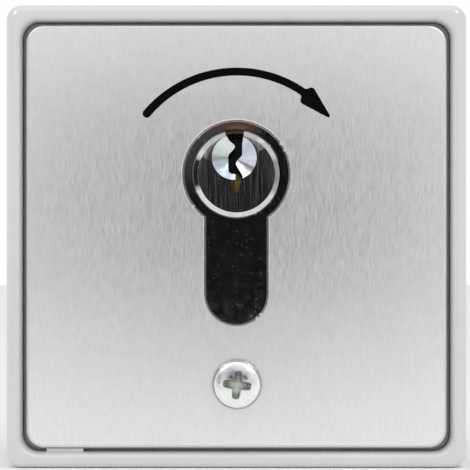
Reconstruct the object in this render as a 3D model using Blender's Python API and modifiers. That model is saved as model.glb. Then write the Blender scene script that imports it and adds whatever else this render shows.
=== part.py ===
"""Selector key switch: surface housing, pressed front plate, profile half cylinder, spring return, switch.

Every length below is in millimetres. The frame has +Z up and the front towards -Y, with its origin at
the centre of the back of the housing. Turning about +Y is clockwise to someone who faces the front.
"""
import math

import bmesh
import bpy
from mathutils import Matrix, Vector

MM = 0.001
AXLES = {
    "X": Matrix.Rotation(math.pi / 2, 4, "Y"),
    "Y": Matrix.Rotation(-math.pi / 2, 4, "X"),
    "Z": Matrix.Identity(4),
}

# Housing
HOUSING_W = 75.0
HOUSING_H = 75.4
HOUSING_R = 2.5
FRONT = -58.0
BACK_WALL = 2.8
RIM_ROUND = 1.3
CAVITY_W = 69.8
CAVITY_H = 70.0
CAVITY_R = 3.4
MOUTH_ROUND = 1.0
RIB_X = (-31.0, -25.0)
RIB_Y = (-55.0, -50.2)
RIB_HIGH = 0.42
BOSS_FRONT = -49.0
BOSS_AT = 27.5
BOSS_HALF = 3.6
BOSS_WEB = 2.2
WALL_SCREW_Z = 30.0
WALL_SCREW_R = 2.4
ENTRY_R = 8.2
ENTRY_X = -14.0
ENTRY_Y = -24.0
KNOCKOUT = (-17.0, 6.0)
EARTH = (-24.0, -16.0)
EARTH_BOSS_R = 4.6
EARTH_BOSS_FRONT = -9.0

# Front plate, gasket and plate screw
PLATE_W = 68.6
PLATE_H = 68.9
PLATE_R = 2.9
PLATE_FRONT = -57.0
PLATE_SHEET = 1.2
PLATE_FLANGE = 4.0
PLATE_ROUND = 0.6
GASKET_FRONT = -52.85
GASKET_BACK = -51.9
GASKET_BAND = 3.0
SCREW_Z = -24.1
SCREW_HEAD_R = 4.0
SCREW_HEAD_RISE = 2.1
RECESS_ARM = 2.2
RECESS_WIDTH = 1.08
RECESS_DEPTH = 1.5
RECESS_TURN = 7.0

# Profile half cylinder
AXIS_Z = 10.2
BODY_R = 8.5
TAIL_HALF = 4.95
TAIL_DROP = 24.45
CYL_FRONT = -57.6
CYL_BACK = -17.6
SLOT_FRONT = -32.8
SLOT_BACK = -22.4
SLOT_DROP = 15.7
SCREW_DROP = 20.0
CAM_MID = -27.6
COLLAR_R = 7.15
COLLAR_DEEP = 2.0
PLUG_R = 6.5
PLUG_CHAMFER = 1.0
PLUG_CHAMFER_DEEP = 0.4
SPINDLE_R = 4.5
SPINDLE_FLAT = 3.5
BORE_GAP = 0.15
DISH_R = 3.65
DISH_FLOOR_R = 0.5
DISH_DEEP = 2.0
DISH_AT = (-0.36, 2.7)
PIN_R = 1.35
CHAMBER_R = 1.55
PIN_COUNT = 5
FIRST_PIN = -53.6
PIN_STEP = 4.0
PIN_TOP = 0.0
PIN_FOOT = -6.3
DRIVER_TOP = -6.75
DRIVER_LONG = 5.0
SPRING_FOOT = -20.55
CHAMBER_PLUG_TOP = -20.8
CHAMBER_PLUG_FOOT = -23.9

# Cam
HUB_R = 7.9
NOSE_HALF = 4.0
NOSE_TIP = 15.3
CAM_FRONT = -32.4
CAM_BACK = -22.7
CLIP_SEAT_R = 7.3
CLIP_SEAT_BACK = -31.6

# Carrier
FLANGE_FRONT = -51.7
FLANGE_BACK = -49.2
FLANGE_W = 68.8
FLANGE_H = 69.0
CYL_GAP = 0.3
SLEEVE_WALL = 1.8
SLEEVE_BACK = -33.1
CHANNEL_HALF = 7.2
POST_X = 9.8
POST_R = 3.3
STOP_R = 1.5
STOP_BACK = -30.4
STOP_GAP = 0.15
SHELF_BACK = -33.1

# Return spring and its plate
SHEET_FRONT = -17.3
SHEET_BACK = -15.8
STUD_R = 3.4
STUD_BACK = -9.2
WIRE_R = 0.5
COIL_R = 5.3
COIL_TURNS = 4
COIL_FRONT = -14.8
COIL_BACK = -10.0
LEG_R = 10.5
LEG_TIP = -24.6
ANCHOR_DROP = 9.0

# Travel of the key and what follows it
TRAVEL = 60.0
LEVER_RATIO = 0.3
LEVER_AT = (14.35, -1.8)
LEVER_THICK = 0.8
LEVER_GAP = 0.15
KNUCKLE_R = 1.4
LEVER_Y = (-29.3, -26.5)

# Switch
CASE_X = (16.0, 26.6)
CASE_Z = (-4.0, 15.8)
CASE_Y = (-30.8, -25.45)
COVER_Y = (-25.3, -24.4)
CASE_WALL = 0.9
CHAMBER_X = 21.9
PLUNGER_Z = 2.8
PLUNGER_R = 0.9
PLUNGER_CENTRE = 14.35
PLUNGER_BACK = 18.1
BLADE_X = 18.4
BLADE_Z = (-0.9, 13.5)
BLADE_SHEET = 0.3
TAB_SHEET = 0.5
TAB_HALF = 1.4
TAB_END = 33.0
NC_Z = -2.4
NO_Z = 5.9
COMMON_Z = 14.0
SWITCH_SCREW_X = 24.3
SWITCH_SCREW_Z = (1.15, 10.65)


# --- scene, materials and modifiers ---------------------------------------------------------------

def clear_scene():
    for item in list(bpy.data.objects):
        bpy.data.objects.remove(item, do_unlink=True)


def new_collection(name):
    group = bpy.data.collections.new(name)
    bpy.context.scene.collection.children.link(group)
    return group


def add_object(name, data):
    item = bpy.data.objects.new(name, data)
    PARTS.objects.link(item)
    return item


def from_bmesh(name, bm):
    mesh = bpy.data.meshes.new(name)
    bm.to_mesh(mesh)
    bm.free()
    mesh.shade_smooth()
    mesh.set_sharp_from_angle(angle=math.radians(32))
    return add_object(name, mesh)


def finish(item, colour, roughness, metallic=0.0):
    """Give an object its own material."""
    material = bpy.data.materials.new(item.name)
    material.use_nodes = True
    shader = material.node_tree.nodes["Principled BSDF"]
    shader.inputs["Base Color"].default_value = (*colour, 1.0)
    shader.inputs["Roughness"].default_value = roughness
    shader.inputs["Metallic"].default_value = metallic
    item.data.materials.clear()
    item.data.materials.append(material)
    return item


def combine(target, tool, operation):
    modifier = target.modifiers.new(tool.name, "BOOLEAN")
    modifier.operation = operation
    modifier.solver = "EXACT"
    modifier.object = tool
    if tool.name in PARTS.objects:
        PARTS.objects.unlink(tool)
        CUTTERS.objects.link(tool)
    tool.hide_render = True
    tool.display_type = "WIRE"
    return target


def cut(target, *tools):
    for tool in tools:
        combine(target, tool, "DIFFERENCE")
    return target


def join(target, *tools):
    for tool in tools:
        combine(target, tool, "UNION")
    return target


def round_front(item, width, segments):
    """Round the edges that lie in the foremost plane of a prism."""
    foremost = min(vertex.co.y for vertex in item.data.vertices)
    group = item.vertex_groups.new(name="front")
    chosen = [v.index for v in item.data.vertices if v.co.y < foremost + 0.01 * MM]
    group.add(chosen, 1.0, "REPLACE")
    bevel = item.modifiers.new("front_round", "BEVEL")
    bevel.limit_method = "VGROUP"
    bevel.vertex_group = group.name
    bevel.width = width * MM
    bevel.segments = segments
    return item


def set_pivot(item, x, y, z):
    """Move an object's origin without moving its shape."""
    point = Vector((x, y, z)) * MM
    item.data.transform(Matrix.Translation(-point))
    item.location = point
    return item


# --- outlines, as (x, z) points -------------------------------------------------------------------

def arc(x, z, radius, start, stop, steps):
    """Points of an arc, with its angles in degrees clockwise from straight up."""
    points = []
    for index in range(steps + 1):
        angle = math.radians(start + (stop - start) * index / steps)
        points.append((x + radius * math.sin(angle), z + radius * math.cos(angle)))
    return points


def rounded_rectangle(width, height, radius, steps=4):
    x = width / 2 - radius
    z = height / 2 - radius
    corners = [(x, z, 0), (x, -z, 90), (-x, -z, 180), (-x, z, 270)]
    points = []
    for cx, cz, start in corners:
        points += arc(cx, cz, radius, start, start + 90, steps)
    return points


def profile_outline(gap, steps=26):
    """The keyhole section of a profile cylinder, grown on every side by a gap."""
    radius = BODY_R + gap
    half = TAIL_HALF + gap
    meet = math.degrees(math.asin(half / radius))
    head = arc(0, AXIS_Z, radius, 180 + meet, 540 - meet, steps)
    foot = arc(0, AXIS_Z - TAIL_DROP + TAIL_HALF, half, 90, 270, 8)
    return head + foot


def keyway_outline():
    """The warded slot, open at the top of the plug, measured from the plug's axis."""
    left = [(-2.0, 7.7), (-1.78, 6.37), (-1.17, 5.43), (-0.30, 4.69), (-0.30, 4.21), (-1.38, 3.07),
            (-1.31, 0.43), (-0.84, 0.03), (-0.16, 0.03), (-0.16, -1.19), (-0.87, -1.19)]
    foot = [(-0.87, -2.94), (0.38, -2.94), (0.38, -1.25)]
    right = [(0.87, -1.21), (1.05, -0.24), (-0.03, 1.44), (-0.09, 2.05), (0.92, 3.07), (0.95, 5.0),
             (1.19, 6.37), (1.3, 7.7)]
    return [(x, AXIS_Z + z) for x, z in left + foot + right]


# --- solids ---------------------------------------------------------------------------------------

def prism(name, outline, front, back):
    """A flat outline in the XZ plane, thickened along Y."""
    curve = bpy.data.curves.new(name, "CURVE")
    curve.dimensions = "2D"
    curve.fill_mode = "BOTH"
    curve.extrude = (back - front) / 2 * MM
    spline = curve.splines.new("POLY")
    spline.points.add(len(outline) - 1)
    for point, (x, z) in zip(spline.points, outline):
        point.co = (x * MM, z * MM, 0, 1)
    spline.use_cyclic_u = True
    place = Matrix.Translation((0, (front + back) / 2 * MM, 0)) @ Matrix.Rotation(math.pi / 2, 4, "X")
    return curve_to_mesh(name, curve, place)


def curve_to_mesh(name, curve, place=Matrix.Identity(4)):
    """Turn a curve into a closed mesh whose points are in world coordinates."""
    guide = bpy.data.objects.new(name + "_guide", curve)
    bpy.context.scene.collection.objects.link(guide)
    bpy.context.view_layer.update()
    graph = bpy.context.evaluated_depsgraph_get()
    mesh = bpy.data.meshes.new_from_object(guide.evaluated_get(graph))
    bpy.data.objects.remove(guide, do_unlink=True)
    bpy.data.curves.remove(curve)
    bm = bmesh.new()
    bm.from_mesh(mesh)
    bpy.data.meshes.remove(mesh)
    bm.transform(place)
    bmesh.ops.remove_doubles(bm, verts=bm.verts, dist=0.002 * MM)
    bmesh.ops.dissolve_limit(bm, angle_limit=math.radians(1), verts=bm.verts, edges=bm.edges)
    bmesh.ops.recalc_face_normals(bm, faces=bm.faces)
    return from_bmesh(name, bm)


def wire(name, path, radius, sides_level):
    """A round wire along a list of (x, y, z) points."""
    curve = bpy.data.curves.new(name, "CURVE")
    curve.dimensions = "3D"
    curve.bevel_depth = radius * MM
    curve.bevel_resolution = sides_level
    curve.use_fill_caps = True
    spline = curve.splines.new("POLY")
    spline.points.add(len(path) - 1)
    for point, (x, y, z) in zip(spline.points, path):
        point.co = (x * MM, y * MM, z * MM, 1)
    return curve_to_mesh(name, curve)


def blocks(name, *boxes):
    """Separate boxes in one mesh, each given by its limits along X, Y and Z."""
    bm = bmesh.new()
    for limits in boxes:
        middle = [(low + high) / 2 * MM for low, high in limits]
        size = [(high - low) * MM for low, high in limits]
        place = Matrix.Translation(middle) @ Matrix.Diagonal((*size, 1))
        bmesh.ops.create_cube(bm, size=1, matrix=place)
    return from_bmesh(name, bm)


def axis_point(axis, place, along):
    """A point from its two coordinates across an axis and the one along it."""
    if axis == "X":
        return Vector((along, place[0], place[1]))
    if axis == "Y":
        return Vector((place[0], along, place[1]))
    return Vector((place[0], place[1], along))


def rods(name, axis, places, radius, span, segments=24, end_radius=None):
    """Equal cylinders or cones along one axis, one at each place, in one mesh."""
    bm = bmesh.new()
    for place in places:
        middle = axis_point(axis, place, sum(span) / 2) * MM
        bmesh.ops.create_cone(
            bm, cap_ends=True, segments=segments, radius1=radius * MM,
            radius2=(radius if end_radius is None else end_radius) * MM,
            depth=(span[1] - span[0]) * MM, matrix=Matrix.Translation(middle) @ AXLES[axis])
    return from_bmesh(name, bm)


def turned(name, axis, place, profile, steps=32, closed=False):
    """A turned piece from (radius, position along the axis) points, highest position first."""
    bm = bmesh.new()
    verts = [bm.verts.new((radius * MM, 0, along * MM)) for radius, along in profile]
    for first, second in zip(verts, verts[1:]):
        bm.edges.new((first, second))
    if closed:
        bm.edges.new((verts[-1], verts[0]))
    item = from_bmesh(name, bm)
    item.rotation_euler = AXLES[axis].to_euler()
    item.location = axis_point(axis, place, 0) * MM
    screw = item.modifiers.new("turning", "SCREW")
    screw.steps = steps
    screw.render_steps = steps
    screw.use_merge_vertices = True
    screw.merge_threshold = 0.00001
    return item


def loft(name, sections):
    """A solid through unlike rounded rectangles, each (width, height, radius, y), front to back."""
    bm = bmesh.new()
    rings = []
    for width, height, radius, y in sections:
        outline = rounded_rectangle(width, height, radius)
        rings.append([bm.verts.new((x * MM, y * MM, z * MM)) for x, z in outline])
    count = len(rings[0])
    for near, far in zip(rings, rings[1:]):
        for index in range(count):
            after = (index + 1) % count
            bm.faces.new((near[index], near[after], far[after], far[index]))
    bm.faces.new(rings[0])
    bm.faces.new(rings[-1])
    bmesh.ops.recalc_face_normals(bm, faces=bm.faces)
    return from_bmesh(name, bm)


def screw_piece(name, place, seat, head_r, head_high, shank_r, tip, colour, toward=-1):
    """A screw along Y: a domed head on its seat, rising towards -1 or +1, and a plain shank."""
    crown = seat + toward * head_high
    outer = [(0, crown), (0.55 * head_r, crown - toward * 0.08 * head_high),
             (0.85 * head_r, crown - toward * 0.3 * head_high), (head_r, crown - toward * 0.68 * head_high),
             (head_r, seat), (shank_r, seat), (shank_r, tip + toward * 0.5), (shank_r - 0.4, tip), (0, tip)]
    if toward < 0:
        outer.reverse()
    item = turned(name, "Y", place, outer, steps=12)
    return finish(item, colour, 0.3, 1.0)


def cross_cutter(name, x, y_span, z, arm, width, turn):
    """A cross-shaped recess made of one plus-shaped outline."""
    half = width / 2
    quarter = [(half, arm), (half, half), (arm, half)]
    outline = []
    angle = math.radians(turn)
    for step in range(4):
        for px, pz in quarter:
            for _ in range(step):
                px, pz = pz, -px
            across = px * math.cos(angle) + pz * math.sin(angle)
            up = pz * math.cos(angle) - px * math.sin(angle)
            outline.append((x + across, z + up))
    return prism(name, outline, *y_span)


# --- housing and front ----------------------------------------------------------------------------

def corner_places(distance):
    return [(sx * distance, sz * distance) for sx in (-1, 1) for sz in (-1, 1)]


def housing_cavity():
    """The hollow of the housing, whose mouth flares out over the inner edge of the rim."""
    sections = []
    steps = 3
    for index in range(steps + 1):
        angle = math.pi / 2 * index / steps
        spread = MOUTH_ROUND * (1 - math.sin(angle))
        depth = FRONT + MOUTH_ROUND * (1 - math.cos(angle))
        sections.append((CAVITY_W + 2 * spread, CAVITY_H + 2 * spread, CAVITY_R + spread, depth))
    first = sections[0]
    sections.insert(0, (first[0], first[1], first[2], FRONT - 2))
    sections.append((CAVITY_W, CAVITY_H, CAVITY_R, -BACK_WALL))
    return loft("housing_cavity", sections)


def corner_boss(index, x, z):
    """A screw boss with a web to each of the two walls beside it."""
    sx = math.copysign(1, x)
    sz = math.copysign(1, z)
    span = (BOSS_FRONT, -BACK_WALL / 2)
    half = BOSS_HALF
    wall_x = CAVITY_W / 2 + 0.6
    wall_z = CAVITY_H / 2 + 0.6
    web = BOSS_WEB / 2
    root = half + 0.05
    outline = [(x - sx * half, z - sz * half), (x + sx * half, z - sz * half), (x + sx * root, z - sz * web),
               (sx * wall_x, z - sz * web), (sx * wall_x, z + sz * web), (x + sx * root, z + sz * web),
               (x + sx * half, z + sz * half), (x + sx * web, z + sz * root), (x + sx * web, sz * wall_z),
               (x - sx * web, sz * wall_z), (x - sx * web, z + sz * root), (x - sx * half, z + sz * half)]
    return prism(f"housing_boss_{index}", outline, *span)


def build_housing():
    outline = rounded_rectangle(HOUSING_W, HOUSING_H, HOUSING_R)
    item = prism("housing", outline, FRONT, 0.0)
    round_front(item, RIM_ROUND, 3)
    cut(item, housing_cavity())
    for index, place in enumerate(corner_places(BOSS_AT)):
        join(item, corner_boss(index, *place))
    floor = CAVITY_H / 2
    join(item, blocks("housing_rib", (RIB_X, RIB_Y, (-floor - 0.6, -floor + RIB_HIGH))))
    join(item, rods("housing_earth_boss", "Y", [EARTH], EARTH_BOSS_R, (EARTH_BOSS_FRONT, -1.4), 20))
    cut(item, rods("housing_boss_holes", "Y", corner_places(BOSS_AT), 1.9, (BOSS_FRONT - 2, -36.0), 12))
    cut(item, rods("housing_earth_hole", "Y", [EARTH], 2.3, (EARTH_BOSS_FRONT - 2, -2.0), 16))
    wall_places = [(0, WALL_SCREW_Z), (0, -WALL_SCREW_Z)]
    cut(item, rods("housing_wall_holes", "Y", wall_places, WALL_SCREW_R, (-5, 2), 16))
    cut(item, rods("housing_back_entry", "Y", [KNOCKOUT], ENTRY_R, (-5, 2), 24))
    cut(item, rods("housing_bottom_entry", "Z", [(ENTRY_X, ENTRY_Y)], ENTRY_R, (-40, -34), 24))
    return finish(item, (0.68, 0.7, 0.71), 0.4)


def build_front_plate():
    item = prism("front_plate", rounded_rectangle(PLATE_W, PLATE_H, PLATE_R), PLATE_FRONT,
                 PLATE_FRONT + PLATE_FLANGE)
    round_front(item, PLATE_ROUND, 2)
    inner = rounded_rectangle(PLATE_W - 2 * PLATE_SHEET, PLATE_H - 2 * PLATE_SHEET, PLATE_R - PLATE_SHEET)
    cut(item, prism("plate_inside", inner, PLATE_FRONT + PLATE_SHEET, PLATE_FRONT + PLATE_FLANGE + 2))
    cut(item, prism("plate_profile_hole", profile_outline(0.2, 32), PLATE_FRONT - 2, PLATE_FRONT + 3))
    cut(item, rods("plate_screw_hole", "Y", [(0, SCREW_Z)], 2.4, (PLATE_FRONT - 2, PLATE_FRONT + 3)))
    return finish(item, (0.55, 0.57, 0.58), 0.35, 1.0)


def build_gasket():
    item = prism("plate_gasket", rounded_rectangle(PLATE_W - 0.2, PLATE_H - 0.2, PLATE_R), GASKET_FRONT,
                 GASKET_BACK)
    inner = rounded_rectangle(PLATE_W - 2 * GASKET_BAND, PLATE_H - 2 * GASKET_BAND, 2.0)
    cut(item, prism("gasket_inside", inner, GASKET_FRONT - 1, GASKET_BACK + 1))
    return finish(item, (0.02, 0.02, 0.02), 0.8)


def build_plate_screw():
    seat = PLATE_FRONT - 0.1
    item = screw_piece("plate_screw", (0, SCREW_Z), seat, SCREW_HEAD_R, SCREW_HEAD_RISE, 1.8, -46.0,
                       (0.8, 0.8, 0.8))
    item.modifiers["turning"].steps = 32
    item.modifiers["turning"].render_steps = 32
    crown = seat - SCREW_HEAD_RISE
    cut(item, cross_cutter("plate_screw_recess", 0, (crown - 1, crown + RECESS_DEPTH), SCREW_Z, RECESS_ARM,
                           RECESS_WIDTH, RECESS_TURN))


def build_entries():
    """The rubber grommet in the bottom wall and the blanking plug in the back wall."""
    low = -HOUSING_H / 2 + 0.3
    inside = -CAVITY_H / 2 + 0.3
    rim = ENTRY_R - 0.3
    grommet = [(1.5, inside + 3.4), (2.6, inside + 3.4), (6.2, inside + 1.1), (9.6, inside + 1.1),
               (9.6, inside), (rim, inside), (rim, low), (6.6, low), (6.2, low + 1.2), (3.2, low + 1.2),
               (1.5, low + 3.2)]
    finish(turned("cable_grommet", "Z", (ENTRY_X, ENTRY_Y), grommet, 24, True), (0.03, 0.03, 0.03), 0.7)
    inner = -BACK_WALL - 0.3
    blank = [(0, -0.3), (rim, -0.3), (rim, inner), (9.6, inner), (9.6, inner - 1.0), (6.6, inner - 1.0),
             (6.6, -1.5), (0, -1.5)]
    finish(turned("rear_entry_plug", "Y", KNOCKOUT, blank, 24), (0.03, 0.03, 0.03), 0.6)


def build_earth():
    seat = EARTH_BOSS_FRONT - 0.3
    ring = [(2.2, seat), (4.2, seat), (4.2, seat - 0.8), (2.2, seat - 0.8)]
    finish(turned("earth_washer", "Y", EARTH, ring, 20, True), (0.8, 0.6, 0.3), 0.3, 1.0)
    screw_piece("earth_screw", EARTH, seat - 1.1, 3.6, 2.4, 1.8, -2.9, (0.8, 0.78, 0.72))


# --- cylinder -------------------------------------------------------------------------------------

def pin_stations():
    return [FIRST_PIN + PIN_STEP * index for index in range(PIN_COUNT)]


def build_cylinder_body():
    item = prism("cylinder_body", profile_outline(0, 32), CYL_FRONT, CYL_BACK)
    axis = [(0, AXIS_Z)]
    collar_back = CYL_FRONT + COLLAR_DEEP
    cut(item, rods("body_collar_bore", "Y", axis, COLLAR_R + 0.1, (CYL_FRONT - 1, collar_back), 40))
    cut(item, rods("body_bore", "Y", axis, PLUG_R + BORE_GAP, (collar_back - 0.5, SLOT_FRONT + 0.8), 40))
    cut(item, blocks("body_cam_slot", ((-12, 12), (SLOT_FRONT, SLOT_BACK),
                                       (AXIS_Z - SLOT_DROP, AXIS_Z + 12))))
    cut(item, rods("body_rear_bore", "Y", axis, SPINDLE_R + 0.2, (SLOT_BACK - 0.8, CYL_BACK - 2.0), 32))
    chambers = [(0, y) for y in pin_stations()]
    span = (AXIS_Z - TAIL_DROP - 2, AXIS_Z - 6.0)
    cut(item, rods("body_chambers", "Z", chambers, CHAMBER_R, span, 12))
    cut(item, rods("body_screw_hole", "X", [(CAM_MID, AXIS_Z - SCREW_DROP)], 2.7, (-8, 8), 24))
    return finish(item, (0.03, 0.03, 0.032), 0.3, 1.0)


def build_plug():
    front = CYL_FRONT
    collar_back = front + COLLAR_DEEP - 0.15
    profile = [(0, -20.2), (SPINDLE_R, -20.2), (SPINDLE_R, -31.75), (3.9, -31.75), (3.9, -32.6),
               (SPINDLE_R, -32.6), (SPINDLE_R, -32.95), (PLUG_R, -32.95), (PLUG_R, collar_back),
               (COLLAR_R, collar_back), (COLLAR_R, front + PLUG_CHAMFER_DEEP), (COLLAR_R - PLUG_CHAMFER, front),
               (0, front)]
    item = turned("plug", "Y", (0, AXIS_Z), profile, 40)
    slope = (DISH_R - DISH_FLOOR_R) / DISH_DEEP
    dish = rods("plug_dish", "Y", [(DISH_AT[0], AXIS_Z + DISH_AT[1])], DISH_R + 0.4 * slope,
                (front - 0.4, front + DISH_DEEP), 24, DISH_FLOOR_R)
    cut(item, dish)
    cut(item, prism("plug_keyway", keyway_outline(), front - 1, -33.4))
    places = [(0, y) for y in pin_stations()]
    cut(item, rods("plug_chambers", "Z", places, PIN_R + 0.15, (AXIS_Z - 9, AXIS_Z + PIN_TOP + 0.25), 12))
    flat = SPINDLE_FLAT
    cut(item, blocks("plug_flats", ((flat, 8), (-31.85, -18), (AXIS_Z - 8, AXIS_Z + 8)),
                     ((-8, -flat), (-31.85, -18), (AXIS_Z - 8, AXIS_Z + 8))))
    return finish(item, (0.04, 0.04, 0.042), 0.25, 1.0)


def cam_outline():
    spring = math.degrees(math.asin(NOSE_HALF / HUB_R))
    tip = arc(0, AXIS_Z + NOSE_TIP - NOSE_HALF, NOSE_HALF, -90, 90, 12)
    return arc(0, AXIS_Z, HUB_R, spring, 360 - spring, 32) + tip


def build_cam():
    item = prism("cam", cam_outline(), CAM_FRONT, CAM_BACK)
    cut(item, rods("cam_clip_seat", "Y", [(0, AXIS_Z)], CLIP_SEAT_R, (CAM_FRONT - 1, CLIP_SEAT_BACK), 32))
    radius = SPINDLE_R + 0.15
    edge = math.degrees(math.asin((SPINDLE_FLAT + 0.15) / radius))
    bore = arc(0, AXIS_Z, radius, -edge, edge, 8) + arc(0, AXIS_Z, radius, 180 - edge, 180 + edge, 8)
    cut(item, prism("cam_bore", bore, CAM_FRONT - 1, CAM_BACK + 1))
    set_pivot(item, 0, CAM_MID, AXIS_Z)
    return finish(item, (0.5, 0.5, 0.5), 0.35, 1.0)


def build_clip():
    """The open ring that keeps the plug from coming out at the front."""
    outline = arc(0, AXIS_Z, 7.1, 30, 330, 28) + arc(0, AXIS_Z, 4.05, 330, 30, 24)
    item = prism("plug_clip", outline, -32.5, -31.9)
    set_pivot(item, 0, CAM_MID, AXIS_Z)
    return finish(item, (0.6, 0.6, 0.6), 0.3, 1.0)


def build_pins():
    for index, y in enumerate(pin_stations(), start=1):
        place = (0, y)
        top = AXIS_Z + PIN_TOP
        foot = AXIS_Z + PIN_FOOT
        key_pin = [(0, top), (0.45, top), (PIN_R, top - 1.1), (PIN_R, foot + 0.2), (PIN_R - 0.2, foot),
                   (0, foot)]
        finish(turned(f"key_pin_{index}", "Z", place, key_pin, 12), (0.75, 0.5, 0.2), 0.3, 1.0)
        head = AXIS_Z + DRIVER_TOP
        tail = head - DRIVER_LONG
        driver = [(0, head), (PIN_R - 0.15, head), (PIN_R, head - 0.15), (PIN_R, tail + 0.2),
                  (PIN_R - 0.2, tail), (0, tail)]
        finish(turned(f"driver_pin_{index}", "Z", place, driver, 12), (0.75, 0.52, 0.24), 0.3, 1.0)
        build_pin_spring(index, y, tail - 0.35, AXIS_Z + SPRING_FOOT + 0.3)
        cap = AXIS_Z + CHAMBER_PLUG_TOP
        base = AXIS_Z + CHAMBER_PLUG_FOOT
        closing = [(0, cap), (1.35, cap), (1.35, base + 0.2), (1.2, base), (0, base)]
        finish(turned(f"chamber_plug_{index}", "Z", place, closing, 12), (0.7, 0.5, 0.25), 0.35, 1.0)


def build_pin_spring(index, y, top, foot):
    turns = 4.5
    per_turn = 6
    count = int(turns * per_turn)
    path = []
    for step in range(count + 1):
        angle = 2 * math.pi * step / per_turn
        path.append((math.cos(angle), y + math.sin(angle), foot + (top - foot) * step / count))
    finish(wire(f"pin_spring_{index}", path, 0.2, 0), (0.7, 0.7, 0.7), 0.3, 1.0)


def build_cylinder_screw():
    place = (CAM_MID, AXIS_Z - SCREW_DROP)
    seat = POST_X + POST_R + 0.25
    profile = [(0, seat + 2.6), (2.4, seat + 2.5), (3.4, seat + 1.9), (3.7, seat), (2.4, seat), (2.4, -6.4),
               (2.0, -6.9), (0, -6.9)]
    item = turned("cylinder_screw", "X", place, profile, 14)
    return finish(item, (0.8, 0.8, 0.78), 0.3, 1.0)


# --- carrier --------------------------------------------------------------------------------------

def build_carrier():
    item = prism("carrier", rounded_rectangle(FLANGE_W, FLANGE_H, 3.0), FLANGE_FRONT, FLANGE_BACK)
    outer = profile_outline(CYL_GAP + SLEEVE_WALL, 24)
    join(item, prism("carrier_sleeve", outer, FLANGE_FRONT + 0.6, SLEEVE_BACK))
    floor = AXIS_Z - TAIL_DROP - CYL_GAP - SLEEVE_WALL
    join(item, blocks("carrier_channel", ((-CHANNEL_HALF, CHANNEL_HALF), (SLEEVE_BACK - 1.2, CYL_BACK - 0.1),
                                          (floor - 0.3, AXIS_Z - SLOT_DROP - 0.5))))
    post_z = AXIS_Z - SCREW_DROP
    posts = [(-POST_X, post_z), (POST_X, post_z)]
    join(item, rods("carrier_posts", "Y", posts, POST_R, (SLEEVE_BACK - 1.7, CYL_BACK - 0.2), 20))
    join(item, blocks("carrier_shelf", ((9.2, 28), (SHELF_BACK - 3.0, SHELF_BACK + 0.05), (-5.3, 17.5))))
    join(item, blocks("carrier_webs", ((12, 27), (FLANGE_BACK - 1, SHELF_BACK - 1.5), (-4.9, -3.0)),
                      ((12, 27), (FLANGE_BACK - 1, SHELF_BACK - 1.5), (15.2, 17.1))))
    join(item, blocks("carrier_pad", ((16.3, 27), (SHELF_BACK - 1, CASE_Y[0] - 0.25), (-3.9, 15.7))))
    stop = NOSE_HALF + STOP_GAP + STOP_R
    turn = math.radians(TRAVEL)
    right = (10 * math.sin(turn) + stop * math.cos(turn), AXIS_Z + 10 * math.cos(turn) - stop * math.sin(turn))
    left = (-stop, AXIS_Z + 11.5)
    join(item, blocks("carrier_stop_lug", ((-7.4, -4.1), (SLEEVE_BACK - 4, SLEEVE_BACK - 0.1),
                                           (AXIS_Z + 8.4, AXIS_Z + 13.4))))
    join(item, rods("carrier_stops", "Y", [left, right], STOP_R, (SLEEVE_BACK - 1.4, STOP_BACK), 20))
    join(item, rods("carrier_plate_boss", "Y", [(0, SCREW_Z)], 4.6, (-55.5, -44.6), 28))
    cut(item, prism("carrier_profile", profile_outline(CYL_GAP, 24), FLANGE_FRONT - 1, CYL_BACK + 1))
    cut(item, rods("carrier_plate_hole", "Y", [(0, SCREW_Z)], 2.1, (-57, -43), 20))
    cut(item, rods("carrier_corner_holes", "Y", corner_places(BOSS_AT), 1.9, (-54, -48), 12))
    cut(item, rods("carrier_post_holes", "Y", posts, 1.55, (-24.0, CYL_BACK + 1), 14))
    cut(item, rods("carrier_cross_hole", "X", [(CAM_MID, post_z)], 2.7, (-8.5, 16), 24))
    places = [(SWITCH_SCREW_X, z) for z in SWITCH_SCREW_Z]
    cut(item, rods("carrier_switch_holes", "Y", places, 1.3, (-38, -29), 14))
    return finish(item, (0.25, 0.26, 0.27), 0.5)


def build_carrier_screws():
    for index, place in enumerate(corner_places(BOSS_AT), start=1):
        screw_piece(f"carrier_screw_{index}", place, FLANGE_FRONT - 0.25, 3.0, 1.9, 1.6, -37.5,
                    (0.8, 0.8, 0.78))


# --- spring return --------------------------------------------------------------------------------

def build_spring_plate():
    low = AXIS_Z - SCREW_DROP - 3.8
    high = AXIS_Z - SCREW_DROP + 3.8
    outline = [(4.5, high), (13.4, high), (13.4, low), (-13.4, low), (-13.4, high), (-4.5, high)]
    outline += arc(0, AXIS_Z, 4.5, 270, 450, 14)
    item = prism("spring_plate", outline, SHEET_FRONT, SHEET_BACK)
    join(item, rods("spring_plate_stud", "Y", [(0, AXIS_Z)], STUD_R, (SHEET_FRONT + 0.5, STUD_BACK), 24))
    places = [(-POST_X, AXIS_Z - SCREW_DROP), (POST_X, AXIS_Z - SCREW_DROP)]
    cut(item, rods("spring_plate_holes", "Y", places, 1.6, (-19, -14), 14))
    cut(item, rods("spring_plate_anchor", "Y", [(0, AXIS_Z - ANCHOR_DROP)], 0.9, (-19, -14), 12))
    finish(item, (0.6, 0.6, 0.62), 0.35, 1.0)
    for side, place in zip(("left", "right"), places):
        screw_piece(f"spring_plate_screw_{side}", place, SHEET_BACK + 0.2, 2.8, 1.8, 1.3, -23.4,
                    (0.8, 0.8, 0.78), toward=1)


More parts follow.
